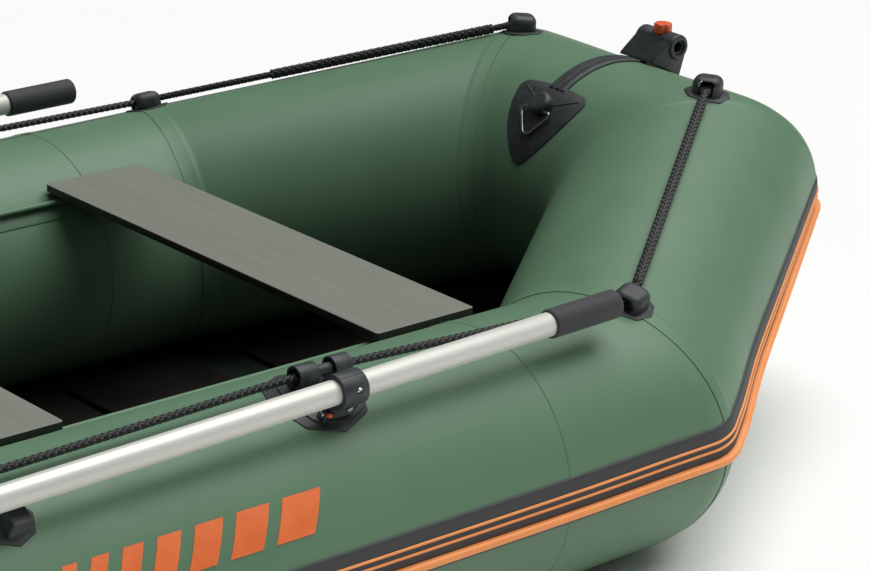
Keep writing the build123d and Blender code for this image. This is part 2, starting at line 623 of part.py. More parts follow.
GRIP_LENGTH = 120.0
GRIP_R = 19.5
GRIP_EDGE_R = 4.0
GRIP_CAP = 12.0                # closed end of the grip, past the shaft's end
JOINT_X = -575.0               # where the two halves of the shaft meet
JOINT_LAP = 90.0
SNAP_X = JOINT_X + 25.0        # push button that locks the joint
SNAP_R = 4.0
SNAP_Z = (6.0, 18.5)
INNER_R = 14.5                 # bore of the inboard shaft
OUTER_SHAFT_R = INNER_R - 0.1
OUTER_WALL = 1.9
BLADE_LENGTH = 430.0
BLADE_WIDTH = 150.0
BLADE_ROOT_HALF = 20.0
BLADE_SHOULDER = 150.0         # from the root to the widest place
BLADE_TIP_NARROW = 8.0
BLADE_CORNER_R = 28.0
BLADE_THICK = 5.0
SOCKET = (90.0, 55.0, 18.0)    # past the root, before the root, radius
SHAFT_IN_BLADE = 60.0
SPINE_R = 6.0
SPINE_END = 90.0


def save_oar(name, solid):
    """A starboard piece of the oar, and its mirror image a little further aft to port."""
    place = oar_location() * Pos(0, 0, SHAFT_Z)
    save(name + "_starboard", place * solid)
    save(name + "_port", mirror(place * Pos(PORT_OAR_SLIDE, 0, 0) * solid, about=Plane.XZ))


def make_oar():
    place = oar_location() * Pos(0, 0, SHAFT_Z)
    tip = INBOARD - OAR_LENGTH
    root = tip + BLADE_LENGTH
    snap_hole = rod((SNAP_X, 0, 0), (SNAP_X, 0, 30), SNAP_R + RUN_FIT)
    shaft = pipe((JOINT_X, 0, 0), (INBOARD - GRIP_CAP, 0, 0), SHAFT_R, INNER_R) - snap_hole
    save_oar("shaft_inboard", shaft)
    outer = pipe((root - SHAFT_IN_BLADE, 0, 0), (JOINT_X + JOINT_LAP, 0, 0), OUTER_SHAFT_R,
                 OUTER_SHAFT_R - OUTER_WALL)
    save_oar("shaft_outboard", outer - snap_hole)
    button = rod((SNAP_X, 0, SNAP_Z[0]), (SNAP_X, 0, SNAP_Z[1]), SNAP_R)
    button = fillet(button.edges().filter_by(GeomType.CIRCLE).sort_by(Axis.Z)[-1], 1.5)
    save_oar("shaft_button", button)
    grip = rod((INBOARD - GRIP_LENGTH, 0, 0), (INBOARD, 0, 0), GRIP_R)
    grip = fillet(grip.edges().filter_by(GeomType.CIRCLE), GRIP_EDGE_R)
    grip = grip - rod((INBOARD - GRIP_LENGTH - 1, 0, 0), (INBOARD - GRIP_CAP, 0, 0), SHAFT_R)
    save_oar("grip", grip)
    half = BLADE_WIDTH / 2
    narrow = half - BLADE_TIP_NARROW
    outline = make_face(Polyline((root, -BLADE_ROOT_HALF), (root, BLADE_ROOT_HALF),
                                 (root - BLADE_SHOULDER, half), (tip, narrow), (tip, -narrow),
                                 (root - BLADE_SHOULDER, -half), close=True))
    outline = fillet(outline.vertices().sort_by(Axis.X)[:4], BLADE_CORNER_R)
    blade = extrude(Pos(0, 0, -BLADE_THICK / 2) * outline, amount=BLADE_THICK)
    blade = blade + rod((root - SOCKET[0], 0, 0), (root + SOCKET[1], 0, 0), SOCKET[2])
    blade = blade + rod((tip + SPINE_END, 0, 0), (root - SOCKET[0], 0, 0), SPINE_R)
    blade = blade - rod((root - SHAFT_IN_BLADE, 0, 0), (root + SHAFT_IN_BLADE, 0, 0), OUTER_SHAFT_R)
    save_oar("blade", blade)


# ---- saddle that keeps the stowed oar off the tube ----
REST_X = -485.0                # along the shaft from the clamp
REST_TURN = 3.0                # degrees further outboard than the oarlock, under the turned oar
REST_PATCH_R = 36.0
REST = (13.0, 26.0, 28.0)      # half length, half width, height over the skin
REST_HOLLOW = (50.0, 23.5)     # height and radius of the saddle's hollow


def make_rests():
    plane = skin_frame(0, Vector(LOCK_X + REST_X, -HALF_BEAM, TUBE_R), LOCK_ANGLE + REST_TURN)
    prism = at(plane, extrude(RegularPolygon(REST_PATCH_R, 8), amount=40, both=True))
    patch = (prism & full_tube(0, PATCH_THICK)) - SOLID_TUBES[0]
    saddle = block(-REST[0], REST[0], -REST[1], REST[1], -6, REST[2])
    saddle = saddle - Pos(0, 0, REST_HOLLOW[0]) * Rot(0, 90, 0) * Cylinder(REST_HOLLOW[1], 60)
    saddle = fillet(saddle.edges().filter_by(Axis.Z), 4)
    saddle = at(plane, saddle) - full_tube(0, PATCH_THICK)
    save("oar_rests", *both(max(patch.solids(), key=lambda s: s.volume) + saddle))


# ---- inflation valves on the inboard side of the tubes ----
VALVE_FLANGE = (28.0, 3.0)     # radius and thickness
VALVE_BORE = 13.0
NECK_HEIGHTS = (-30.0, 6.0)
CAP_R = 20.0
CAP_HEIGHTS = (6.3, 14.3)
CAP_NOTCHES = 8
PLUG_BOTTOM = -8.0


def valve_frame():
    return skin_frame(0, Vector(VALVE_X, -HALF_BEAM, TUBE_R), VALVE_ANGLE)


def make_valves():
    plane = valve_frame()
    flange = at(plane, Cylinder(VALVE_FLANGE[0], 20)) & full_tube(0, VALVE_FLANGE[1])
    flange = flange - SOLID_TUBES[0]
    neck = at(plane, rod((0, 0, NECK_HEIGHTS[0]), (0, 0, NECK_HEIGHTS[1]), VALVE_NECK_R))
    body = flange + neck - at(plane, rod((0, 0, -40), (0, 0, 20), VALVE_BORE))
    save("valve_bodies", *both(body))
    low, high = CAP_HEIGHTS
    cap = Pos(0, 0, (low + high) / 2) * Cylinder(CAP_R, high - low)
    cap = fillet(cap.edges().filter_by(GeomType.CIRCLE), 1.5)
    for turn in range(CAP_NOTCHES):
        cap = cap - Rot(0, 0, 360 / CAP_NOTCHES * turn) * Pos(CAP_R + 2, 0, 10) * Cylinder(4, 20)
    cap += rod((0, 0, PLUG_BOTTOM), (0, 0, low + 0.7), VALVE_BORE - RUN_FIT)
    save_sides("valve_cap", at(plane, cap))


for make in (make_tubes, make_floor, make_strake, make_benches, make_guides, make_lifelines,
             make_towing, make_roller, make_oarlock_base, make_rocker, make_clamp, make_oar,
             make_rests, make_valves):
    make()
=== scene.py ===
import math
import bmesh
import bpy
from mathutils import Matrix, Vector


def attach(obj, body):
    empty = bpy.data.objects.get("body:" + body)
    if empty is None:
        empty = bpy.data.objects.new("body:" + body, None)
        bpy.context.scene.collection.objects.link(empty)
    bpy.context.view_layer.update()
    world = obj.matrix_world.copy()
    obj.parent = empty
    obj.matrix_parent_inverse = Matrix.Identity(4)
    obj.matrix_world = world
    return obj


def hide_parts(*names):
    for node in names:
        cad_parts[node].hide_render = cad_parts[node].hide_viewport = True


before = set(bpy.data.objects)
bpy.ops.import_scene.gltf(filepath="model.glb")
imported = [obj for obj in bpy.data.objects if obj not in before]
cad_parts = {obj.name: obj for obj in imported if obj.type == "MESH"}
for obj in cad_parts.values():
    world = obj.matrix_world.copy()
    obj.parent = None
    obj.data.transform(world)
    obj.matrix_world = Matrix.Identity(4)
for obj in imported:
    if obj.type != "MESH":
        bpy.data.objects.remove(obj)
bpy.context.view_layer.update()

# An inflatable rowing boat on a pale studio floor.  Metres, +X to the bow, +Z up, starboard is -Y.
MM = 0.001
TUBE_R = 0.185
RING = [Vector(p) for p in (
    (-0.880, -0.500, 0.185), (0.722, -0.500, 0.185), (1.198, -0.180, 0.310), (1.198, 0.180, 0.310),
    (0.722, 0.500, 0.185), (-0.880, 0.500, 0.185), (-1.198, 0.250, 0.205), (-1.198, -0.250, 0.205))]
TUBES = ["tube_starboard", "bow_quarter_starboard", "tube_bow", "bow_quarter_port",
         "tube_port", "stern_quarter_port", "tube_stern", "stern_quarter_starboard"]
KNEE_ROUNDING = 0.034          # length of tube that is drawn into the bend at each mitre
UP = Vector((0, 0, 1))


# ------------------------------------------------------------------ camera, floor and light
def make_camera():
    data = bpy.data.cameras.new("studio_camera")
    data.sensor_width = 36.0
    data.lens = 136.3
    data.clip_end = 60.0
    camera = bpy.data.objects.new("studio_camera", data)
    right = Vector((0.7559, -0.6539, 0.0306))
    up = Vector((0.2038, 0.2794, 0.9383))
    back = right.cross(up)
    up = back.cross(right)
    turn = Matrix((right, up, back)).transposed().to_4x4()
    camera.matrix_world = Matrix.Translation((-2.194, -3.456, 1.896)) @ turn
    bpy.context.scene.collection.objects.link(camera)
    bpy.context.scene.camera = camera


def make_softbox(name, place, target, size, power, colour=(1, 1, 1)):
    data = bpy.data.lights.new(name, "AREA")
    data.shape = "RECTANGLE"
    data.size, data.size_y = size
    data.energy = power
    data.color = colour
    light = bpy.data.objects.new(name, data)
    light.location = place
    light.rotation_euler = (Vector(target) - Vector(place)).to_track_quat("-Z", "Y").to_euler()
    bpy.context.scene.collection.objects.link(light)


def make_studio():
    scene = bpy.context.scene
    scene.view_settings.view_transform = "Standard"
    world = bpy.data.worlds.new("white_studio")
    world.use_nodes = True
    sky = world.node_tree.nodes["Background"]
    sky.inputs["Color"].default_value = (1.0, 1.0, 1.0, 1.0)
    sky.inputs["Strength"].default_value = 0.12
    scene.world = world
    bpy.ops.mesh.primitive_grid_add(x_subdivisions=4, y_subdivisions=4, size=60)
    floor = bpy.context.object
    floor.name = "studio_floor"
    floor.data.materials.append(studio_floor_paint())
    # a wide bank of lamps overhead, a little ahead of the bow
    overhead = bpy.data.lights.new("overhead_bank", "SUN")
    overhead.energy = 2.95
    overhead.angle = math.radians(60)
    bank = bpy.data.objects.new("overhead_bank", overhead)
    bank.rotation_euler = Vector((-0.34, 0.04, -1.0)).to_track_quat("-Z", "Y").to_euler()
    scene.collection.objects.link(bank)
    make_softbox("side_softbox", (-3.6, -4.6, 3.4), (0.3, -0.3, 0.2), (2.4, 2.4), 3)
    make_softbox("bow_softbox", (4.2, -2.4, 2.6), (0.9, 0.0, 0.3), (2.4, 2.0), 10)


# ------------------------------------------------------------------ material tools
def linear(hex_colour):
    """sRGB hex to a linear RGBA tuple."""
    parts = [int(hex_colour[k:k + 2], 16) / 255 for k in (1, 3, 5)]
    return tuple(c / 12.92 if c <= 0.04045 else ((c + 0.055) / 1.055) ** 2.4 for c in parts) + (1.0,)


def add(tree, kind, settings=None, inputs=None):
    """Adds a node, sets its properties, and fills or links its inputs."""
    made = tree.nodes.new(kind)
    for key, value in (settings or {}).items():
        setattr(made, key, value)
    for key, value in (inputs or {}).items():
        if isinstance(value, bpy.types.NodeSocket):
            tree.links.new(value, made.inputs[key])
        else:
            made.inputs[key].default_value = value
    return made


def start_material(name):
    """An empty node material, its tree and the object coordinates."""
    material = bpy.data.materials.new(name)
    material.use_nodes = True
    tree = material.node_tree
    tree.nodes.clear()
    place = add(tree, "ShaderNodeTexCoord").outputs["Object"]
    return material, tree, place


def end_material(material, tree, inputs):
    shader = add(tree, "ShaderNodeBsdfPrincipled", None, inputs)
    add(tree, "ShaderNodeOutputMaterial", None, {"Surface": shader.outputs["BSDF"]})
    return material


def surface(material, tree, tones, roughness, bumps=(), settings=None):
    """Ends a material.  tones and roughness are each a pattern, the two colours or values that it
    runs between, and the part of the pattern's range that is used.  Tones may also be a ready colour.
    A bump is a pattern, its depth in millimetres and its strength, laid over the bump before it."""
    inputs = dict(settings or {})
    inputs["Base Color"] = tones
    runs = {"Roughness": roughness}
    if isinstance(tones, tuple):
        runs["Base Color"] = tones
    for name, (pattern, first, second, start, stop) in runs.items():
        low, high = (first, second) if name == "Roughness" else (0.0, 1.0)
        value = add(tree, "ShaderNodeMapRange", None, {
            "Value": pattern, "From Min": start, "From Max": stop, "To Min": low, "To Max": high})
        inputs[name] = value.outputs["Result"]
        if name == "Base Color":
            inputs[name] = add(tree, "ShaderNodeMix", {"data_type": "RGBA"}, {
                0: value.outputs["Result"], 6: linear(first), 7: linear(second)}).outputs[2]
    for pattern, depth_mm, strength in bumps:
        made = add(tree, "ShaderNodeBump", None, {
            "Height": pattern, "Distance": depth_mm * MM, "Strength": strength})
        if "Normal" in inputs:
            tree.links.new(inputs["Normal"], made.inputs["Normal"])
        inputs["Normal"] = made.outputs["Normal"]
    return end_material(material, tree, inputs)


def grit(tree, place, size_mm, detail=3.0, stretch=(1, 1, 1)):
    """Noise whose grains are about size_mm across; stretch lengthens them along an axis."""
    scale = 1.0 / (size_mm * MM)
    spread = add(tree, "ShaderNodeMapping", None,
                 {"Vector": place, "Scale": tuple(scale / s for s in stretch)})
    return add(tree, "ShaderNodeTexNoise", None,
               {"Vector": spread.outputs[0], "Scale": 1.0, "Detail": detail}).outputs["Fac"]


# ------------------------------------------------------------------ materials
def studio_floor_paint():
    """Matt white studio paint, rolled on: an even, shadow-catching ground."""
    material, tree, place = start_material("matt_white_studio_paint_rolled")
    cloud = grit(tree, place, 900)
    return surface(material, tree, (cloud, "#f7f7f6", "#fbfbfa", 0, 1), (cloud, 0.9, 0.9, 0, 1),
                   settings={"Specular IOR Level": 0.1})


THREAD_PITCH_MM = 2.4          # coarser than real threads, so that they show


def coated_fabric(name, light, dark, roughness):
    """Polyester cloth with a calendered PVC coat: satin, slightly mottled in colour, with the weave
    showing through as a very shallow relief."""
    material, tree, place = start_material(name)
    mottle = grit(tree, place, 120, 2.0)
    # a wave texture at scale 1 repeats every 2 pi / 20 of a metre
    wave_scale = 2 * math.pi / (20 * THREAD_PITCH_MM * MM)
    warp, weft = [add(tree, "ShaderNodeTexWave", {"wave_type": "BANDS", "bands_direction": axis},
                      {"Vector": place, "Scale": wave_scale, "Distortion": 0.4}).outputs["Fac"]
                  for axis in "XZ"]
    threads = add(tree, "ShaderNodeMath", {"operation": "MULTIPLY"}, {0: warp, 1: weft}).outputs[0]
    flow = grit(tree, place, 26, 3.0)
    gloss = grit(tree, place, 60)
    return surface(material, tree, (mottle, dark, light, 0, 1),
                   (gloss, roughness - 0.04, roughness + 0.05, 0.3, 0.7),
                   [(flow, 0.22, 0.5), (threads, 0.05, 0.35)],
                   {"IOR": 1.53, "Specular IOR Level": 0.3, "Coat Weight": 0.04, "Coat Roughness": 0.35})


def moulded_nylon(name, colour, painted_sheen_grey, roughness=0.5):
    """Glass-filled nylon, injection moulded with a spark-eroded texture: dark, satin, finely pitted,
    with a painted sheen: random patches of paler grey colour stand in for where it catches the light."""
    material, tree, place = start_material(name)
    patchy = grit(tree, place, 14, 4.0)
    pits = grit(tree, place, 0.8, 2.0)
    # the paler grey patches are a painted sheen, spread at random over the dark colour
    return surface(material, tree, (patchy, colour, painted_sheen_grey, 0.35, 0.7),
                   (pits, roughness - 0.06, roughness + 0.08, 0.3, 0.7), [(pits, 0.06, 0.5)],
                   {"IOR": 1.53})


def strake_rubber():
    """PVC rubbing band, extruded: dull, nearly black, with faint lines along its run."""
    material, tree, place = start_material("pvc_rubbing_band_extruded")
    lines = grit(tree, place, 1.2, 2.0, (30, 30, 1))
    return surface(material, tree, (lines, "#2f3031", "#414345", 0, 1), (lines, 0.58, 0.58, 0, 1),
                   [(lines, 0.05, 0.4)], {"IOR": 1.5})


def orange_pvc(name, light, dark, roughness):
    """Orange PVC, extruded: satin and even, with a little scuffing that dulls it in patches."""
    material, tree, place = start_material(name)
    scuff = grit(tree, place, 35, 5.0)
    fine = grit(tree, place, 1.5)
    return surface(material, tree, (scuff, dark, light, 0.35, 0.7),
                   (scuff, roughness, roughness + 0.12, 0.35, 0.7), [(fine, 0.03, 0.3)],
                   {"IOR": 1.5, "Coat Weight": 0.1, "Coat Roughness": 0.3})


def polyester_rope():
    """Braided polyester filament, dyed black: each strand is glossy along its threads, with fine
    lines of filament that lift a soft grey sheen."""
    material, tree, _ = start_material("polyester_rope_braided")
    run = add(tree, "ShaderNodeUVMap", {"uv_map": "strand"}).outputs["UV"]
    stretched = add(tree, "ShaderNodeMapping", None, {"Vector": run, "Scale": (40.0, 9.0, 1.0)})
    threads = add(tree, "ShaderNodeTexNoise", None,
                  {"Vector": stretched.outputs[0], "Scale": 1.0, "Detail": 2.0}).outputs["Fac"]
    return surface(material, tree, (threads, "#0c0d0e", "#26292b", 0.3, 0.75),
                   (threads, 0.42, 0.62, 0, 1), [(threads, 0.12, 0.6)],
                   {"Sheen Weight": 0.12, "Sheen Roughness": 0.4})


VENEER_MM = 1.4
MESH_PITCH_MM = 6.0


def painted_plywood():
    """Birch plywood, sanded and painted with grey non-slip paint: a level satin face with a fine
    stipple, and dark sealed edges that just show the veneers."""
    material, tree, place = start_material("birch_plywood_painted_grey")
    facing = add(tree, "ShaderNodeNewGeometry").outputs["Normal"]
    level = add(tree, "ShaderNodeSeparateXYZ", None, {"Vector": facing}).outputs["Z"]
    stipple = grit(tree, place, 1.6, 3.0)
    grain = grit(tree, place, 5.0, 3.0, (1, 26, 1))
    height = add(tree, "ShaderNodeSeparateXYZ", None, {"Vector": place}).outputs["Z"]
    veneer = add(tree, "ShaderNodeMath", {"operation": "PINGPONG"}, {0: height, 1: VENEER_MM * MM})
    flat = add(tree, "ShaderNodeMath", {"operation": "ABSOLUTE"}, {0: level})
    grained, layered, on_face = [
        add(tree, "ShaderNodeMapRange", None,
            {"Value": pattern, "From Min": start, "From Max": stop}).outputs["Result"]
        for pattern, start, stop in ((grain, 0.3, 0.7), (veneer.outputs[0], 0.0, VENEER_MM * MM),
                                     (flat.outputs[0], 0.55, 0.85))]
    paint, edge = [
        add(tree, "ShaderNodeMix", {"data_type": "RGBA"},
            {0: share, 6: linear(first), 7: linear(second)}).outputs[2]
        for share, first, second in ((grained, "#777a70", "#7f8278"), (layered, "#181715", "#262421"))]
    colour = add(tree, "ShaderNodeMix", {"data_type": "RGBA"}, {0: on_face, 6: edge, 7: paint}).outputs[2]
    return surface(material, tree, colour, (stipple, 0.42, 0.6, 0.3, 0.7), [(stipple, 0.12, 0.45)])


def film_faced_plywood():
    """Plywood faced with dark phenolic film, pressed with a wire mesh: brown-black, half glossy,
    with a grid of raised squares."""
    material, tree, place = start_material("film_faced_plywood_mesh_pressed")
    axes = add(tree, "ShaderNodeSeparateXYZ", None, {"Vector": place}).outputs
    along, across = [add(tree, "ShaderNodeMath", {"operation": "PINGPONG"},
                         {0: axes[axis], 1: MESH_PITCH_MM / 2 * MM}).outputs[0] for axis in "XY"]
    wire = add(tree, "ShaderNodeMath", {"operation": "MINIMUM"}, {0: along, 1: across}).outputs[0]
    pressed = add(tree, "ShaderNodeMapRange", None,
                  {"Value": wire, "From Min": 0.3 * MM, "From Max": 1.2 * MM}).outputs["Result"]
    film = grit(tree, place, 40, 4.0)
    return surface(material, tree, (film, "#120d0b", "#1b1411", 0, 1), (film, 0.36, 0.52, 0, 1),
                   [(pressed, 0.35, 0.7)], {"IOR": 1.55})


def anodised_aluminium():
    """Aluminium tube, drawn and clear anodised: pale silver, satin, with hairline marks along it."""
    material, tree, place = start_material("aluminium_tube_anodised")
    hairlines = grit(tree, place, 0.7, 2.0, (60, 1, 1))
    return surface(material, tree, (hairlines, "#cfd0c8", "#e6e6df", 0, 1),
                   (hairlines, 0.38, 0.48, 0.3, 0.7), [(hairlines, 0.02, 0.35)], {"Metallic": 0.2})


def foam_rubber():
    """Closed-cell foam rubber, moulded and skinned: matt black with a fine open grain."""
    material, tree, place = start_material("foam_rubber_moulded_grip")
    cells = add(tree, "ShaderNodeTexVoronoi", None,
                {"Vector": place, "Scale": 1 / (1.6 * MM)}).outputs["Distance"]
    cloud = grit(tree, place, 18)
    return surface(material, tree, (cloud, "#26292b", "#363a3c", 0, 1), (cells, 0.62, 0.78, 0, 1),
                   [(cells, 0.14, 0.5)], {"Sheen Weight": 0.15})


def stainless_steel(name, light, dark):
    """Stainless steel, drawn and tumbled: grey with small soft dents in the gloss."""
    material, tree, place = start_material(name)
    tumble = grit(tree, place, 1.5, 3.0)
    return surface(material, tree, (tumble, dark, light, 0, 1), (tumble, 0.2, 0.36, 0.3, 0.7),
                   [(tumble, 0.03, 0.4)], {"Metallic": 1.0})


HULL = coated_fabric("pvc_coated_polyester_green", "#64866a", "#5c7d61", 0.44)
BOTTOM = coated_fabric("pvc_coated_polyester_dark_green", "#1d2a22", "#18231c", 0.6)
NYLON = moulded_nylon("glass_filled_nylon_moulded", "#24292b", "#3a4042")
PATCH = moulded_nylon("pvc_fitting_patch_moulded", "#24282a", "#363b3d", 0.55)
BAND = strake_rubber()
STRAKE_ORANGE = orange_pvc("orange_pvc_rib_extruded", "#fda35c", "#f5974f", 0.4)
GRAPHIC_ORANGE = orange_pvc("orange_ink_screen_printed", "#f0783c", "#e66e33", 0.45)
KNOB_ORANGE = orange_pvc("orange_nylon_moulded", "#f5673e", "#e85a30", 0.3)
ROPE = polyester_rope()
BENCH_PLY = painted_plywood()
FLOOR_PLY = film_faced_plywood()
ALUMINIUM = anodised_aluminium()
FOAM = foam_rubber()
STEEL = stainless_steel("stainless_steel_tumbled", "#d4d6d6", "#b9bbbc")
DARK_STEEL = stainless_steel("stainless_steel_wire_blackened", "#9a9ea0", "#7d8183")


# ------------------------------------------------------------------ mesh tools
def finish_piece(piece, material, body="hull", nodes=()):
    """Gives a piece its material and its body, and hides the solids it stands for."""
    piece.data.materials.clear()
    piece.data.materials.append(material)
    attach(piece, body)
    if nodes:
        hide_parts(*nodes)
    return piece


def link_mesh(name, mesh, sharp_degrees=40):
    """Puts a smooth-shaded mesh in the scene; edges sharper than the angle stay crisp."""
    mesh.shade_smooth()
    mesh.set_sharp_from_angle(angle=math.radians(sharp_degrees))
    piece = bpy.data.objects.new(name, mesh)
    bpy.context.scene.collection.objects.link(piece)
    return piece


def mesh_from(name, points, faces, sharp_degrees=40):
    """A piece from points and faces, with doubles merged and normals turned outwards."""
    mesh = bpy.data.meshes.new(name)
    mesh.from_pydata([tuple(p) for p in points], [], faces)
    work = bmesh.new()
    work.from_mesh(mesh)
    bmesh.ops.remove_doubles(work, verts=work.verts, dist=2e-5)
    bmesh.ops.recalc_face_normals(work, faces=work.faces)
    work.to_mesh(mesh)
    work.free()
    return link_mesh(name, mesh, sharp_degrees)


def loft(rows, closed_rows=True, closed_ends=False):
    """Points and faces through rows of equal length; the ends are closed with one face each."""
    count = len(rows[0])
    points = [p for row in rows for p in row]
    faces = []
    for r in range(len(rows) - 1):
        for c in range(count if closed_rows else count - 1):
            a, b = r * count + c, r * count + (c + 1) % count
            faces.append((a, b, b + count, a + count))
    if closed_ends:
        faces.append(tuple(range(count)))
        faces.append(tuple(len(points) - 1 - k for k in range(count)))
    return points, faces


def joined(shapes):
    """Several (points, faces) as one."""
    points, faces = [], []
    for some_points, some_faces in shapes:
        base = len(points)
        points += some_points
        faces += [tuple(base + k for k in face) for face in some_faces]
    return points, faces


def flattened(piece):
    """The piece with its modifiers applied, as a plain mesh."""
    graph = bpy.context.evaluated_depsgraph_get()
    mesh = bpy.data.meshes.new_from_object(piece.evaluated_get(graph))
    piece.modifiers.clear()
    old = piece.data
    piece.data = mesh
    if isinstance(old, bpy.types.Mesh):
        bpy.data.meshes.remove(old)
    return piece


def refined(node, width_mm, material, body="hull", degrees=34, steps=2):
    """A CAD node's shape with its loose triangles merged and its edges eased."""
    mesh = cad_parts[node].data.copy()
    mesh.name = node + "_eased"
    work = bmesh.new()
    work.from_mesh(mesh)
    bmesh.ops.remove_doubles(work, verts=work.verts, dist=1e-5)
    bmesh.ops.dissolve_limit(work, angle_limit=math.radians(0.6), verts=work.verts, edges=work.edges)
    work.to_mesh(mesh)
    work.free()
    mesh.materials.clear()
    piece = bpy.data.objects.new(node + "_eased", mesh)
    bpy.context.scene.collection.objects.link(piece)
    ease = piece.modifiers.new("eased_edges", "BEVEL")
    ease.width = width_mm * MM
    ease.segments = steps
    ease.limit_method = "ANGLE"
    ease.angle_limit = math.radians(degrees)
    ease.use_clamp_overlap = True
    flattened(piece)
    piece.data.shade_smooth()
    piece.data.set_sharp_from_angle(angle=math.radians(degrees))
    return finish_piece(piece, material, body, (node,))


# ------------------------------------------------------------------ ropes
SLEEVE_Y, SLEEVE_Z = -0.528809, 0.389985          # the rope's line through the oarlock's sleeves
LIFE_LINE = [(-0.904626, -0.540357, 0.377629), (-0.790, -0.5388, 0.3782), (-0.340, -0.534, 0.3795),
             (0.085, -0.5294, 0.38874), (0.142, SLEEVE_Y, SLEEVE_Z), (0.262, SLEEVE_Y, SLEEVE_Z),
             (0.319, -0.53109, 0.38844), (0.674, -0.54532, 0.37877), (0.730642, -0.547589, 0.377233),
             (0.77593, -0.51522, 0.38946), (1.210027, -0.205, 0.506633)]
AT_KNEE, AT_BOW = 8, 10        # the points in the knee guide and in the bow guide
ROPE_D = 0.0095
ROPE_LAY = 0.044               # length in which a strand goes once round the rope
SPLICE_D = 0.014
SPLICE_LAY = 0.046
SPLICE_GAP = 0.034             # bare rope between a guide and the splice
PORT_SPLICE_START = 0.200      # the port splice begins further from its knee guide
EYE_D = ROPE_D * 0.9
EYE_LAY = 0.040
EYE_LEGS = [(-0.034, 0.0), (-0.018, 0.0062), (0.004, 0.0070), (0.013, 0.0), (0.004, -0.0070),
            (-0.018, -0.0062), (-0.034, 0.0)]     # ahead of the bow guide's middle, aside
STRANDS = 8
STEPS_A_LAY = 24
UV_PER_METRE = 1000 / 12


def route_points(name, control, resolution):
    """A smooth line through a route's control points, read back as points."""
    data = bpy.data.curves.new(name, "CURVE")
    data.dimensions = "3D"
    data.resolution_u = resolution
    spline = data.splines.new("NURBS")
    spline.points.add(len(control) - 1)
    for point, place in zip(spline.points, control):
        point.co = (*place, 1.0)
    spline.order_u = 3
    spline.use_endpoint_u = True
    route = bpy.data.objects.new(name, data)
    bpy.context.scene.collection.objects.link(route)
    graph = bpy.context.evaluated_depsgraph_get()
    mesh = bpy.data.meshes.new_from_object(route.evaluated_get(graph))
    points = [v.co.copy() for v in mesh.vertices]
    bpy.data.objects.remove(route)
    bpy.data.curves.remove(data)
    bpy.data.meshes.remove(mesh)
    return points


def with_tangents(places, distances):
    """(place, tangent, distance) for each of a row of places."""
    last = len(places) - 1
    stations = []
    for n, place in enumerate(places):
        tangent = (places[min(last, n + 1)] - places[max(0, n - 1)]).normalized()
        stations.append((place, tangent, distances[n]))
    return stations


def evenly(points, step):
    """Stations every step along a line of points."""
    runs = [(b - a).length for a, b in zip(points, points[1:])]
    total = sum(runs)
    count = max(2, int(total / step))
    places, distances = [], []
    k, passed = 0, 0.0
    for n in range(count + 1):
        want = total * n / count
        while k < len(runs) - 1 and passed + runs[k] < want:
            passed += runs[k]
            k += 1
        t = (want - passed) / max(runs[k], 1e-9)
        places.append(points[k].lerp(points[k + 1], t))
        distances.append(want)
    return with_tangents(places, distances)


def around(tangent, turn):
    """The unit vector square to the tangent at an angle round it."""
    first = tangent.cross(UP).normalized()
    second = first.cross(tangent).normalized()
    return first * math.cos(turn) + second * math.sin(turn)


def pipe_along(stations, radius, sides):
    """Points, faces and UVs of a closed pipe through a row of stations."""
    points, faces, uvs = [], [], []
    for centre, tangent, along in stations:
        for k in range(sides):
            points.append(centre + around(tangent, 2 * math.pi * k / sides) * radius)
            uvs.append((along, k / sides))
    last = (len(stations) - 1) * sides
    for row in range(0, last, sides):
        for k in range(sides):
            a, b = row + k, row + (k + 1) % sides
            faces.append((a, b, b + sides, a + sides))
    faces.append(tuple(reversed(range(sides))))
    faces.append(tuple(range(last, last + sides)))
    return points, faces, uvs


def braid(name, line, diameter, lay):
    """A braided rope along a line of points: half the strands wind each way, over and under each
    other, round a solid core."""
    strand_r = diameter * 0.2
    mid_r = diameter * 0.5 - strand_r
    stations = evenly(line, lay / STEPS_A_LAY)
    distances = [along * UV_PER_METRE for _, _, along in stations]
    pipes = [pipe_along(stations, mid_r * 0.95, 12)]
    half = STRANDS // 2
    for winding in (-1, 1):
        for s in range(half):
            places = []
            for place, tangent, along in stations:
                turn = winding * 2 * math.pi * along / lay + 2 * math.pi * s / half
                over = strand_r * 0.5 * winding * math.cos(half * turn)
                places.append(place + around(tangent, turn) * (mid_r + over))
            pipes.append(pipe_along(with_tangents(places, distances), strand_r, 6))
    points, faces = joined([(some_points, some_faces) for some_points, some_faces, _ in pipes])
    uvs = [uv for _, _, some_uvs in pipes for uv in some_uvs]
    mesh = bpy.data.meshes.new(name)
    mesh.from_pydata([tuple(p) for p in points], [], faces)
    layer = mesh.uv_layers.new(name="strand")
    for loop in mesh.loops:
        layer.data[loop.index].uv = uvs[loop.vertex_index]
    return link_mesh(name, mesh, 60)


def make_eye(label, bow, ahead):
    """The spliced eye: the rope parts in two legs that pass round the pin inside the bow guide."""
    aside = ahead.cross(UP).normalized()
    path = [bow + ahead * along + aside * across for along, across in EYE_LEGS]
    eye = braid("life_line_eye_" + label, route_points("eye_route_" + label, path, 20), EYE_D, EYE_LAY)
    return finish_piece(eye, ROPE)


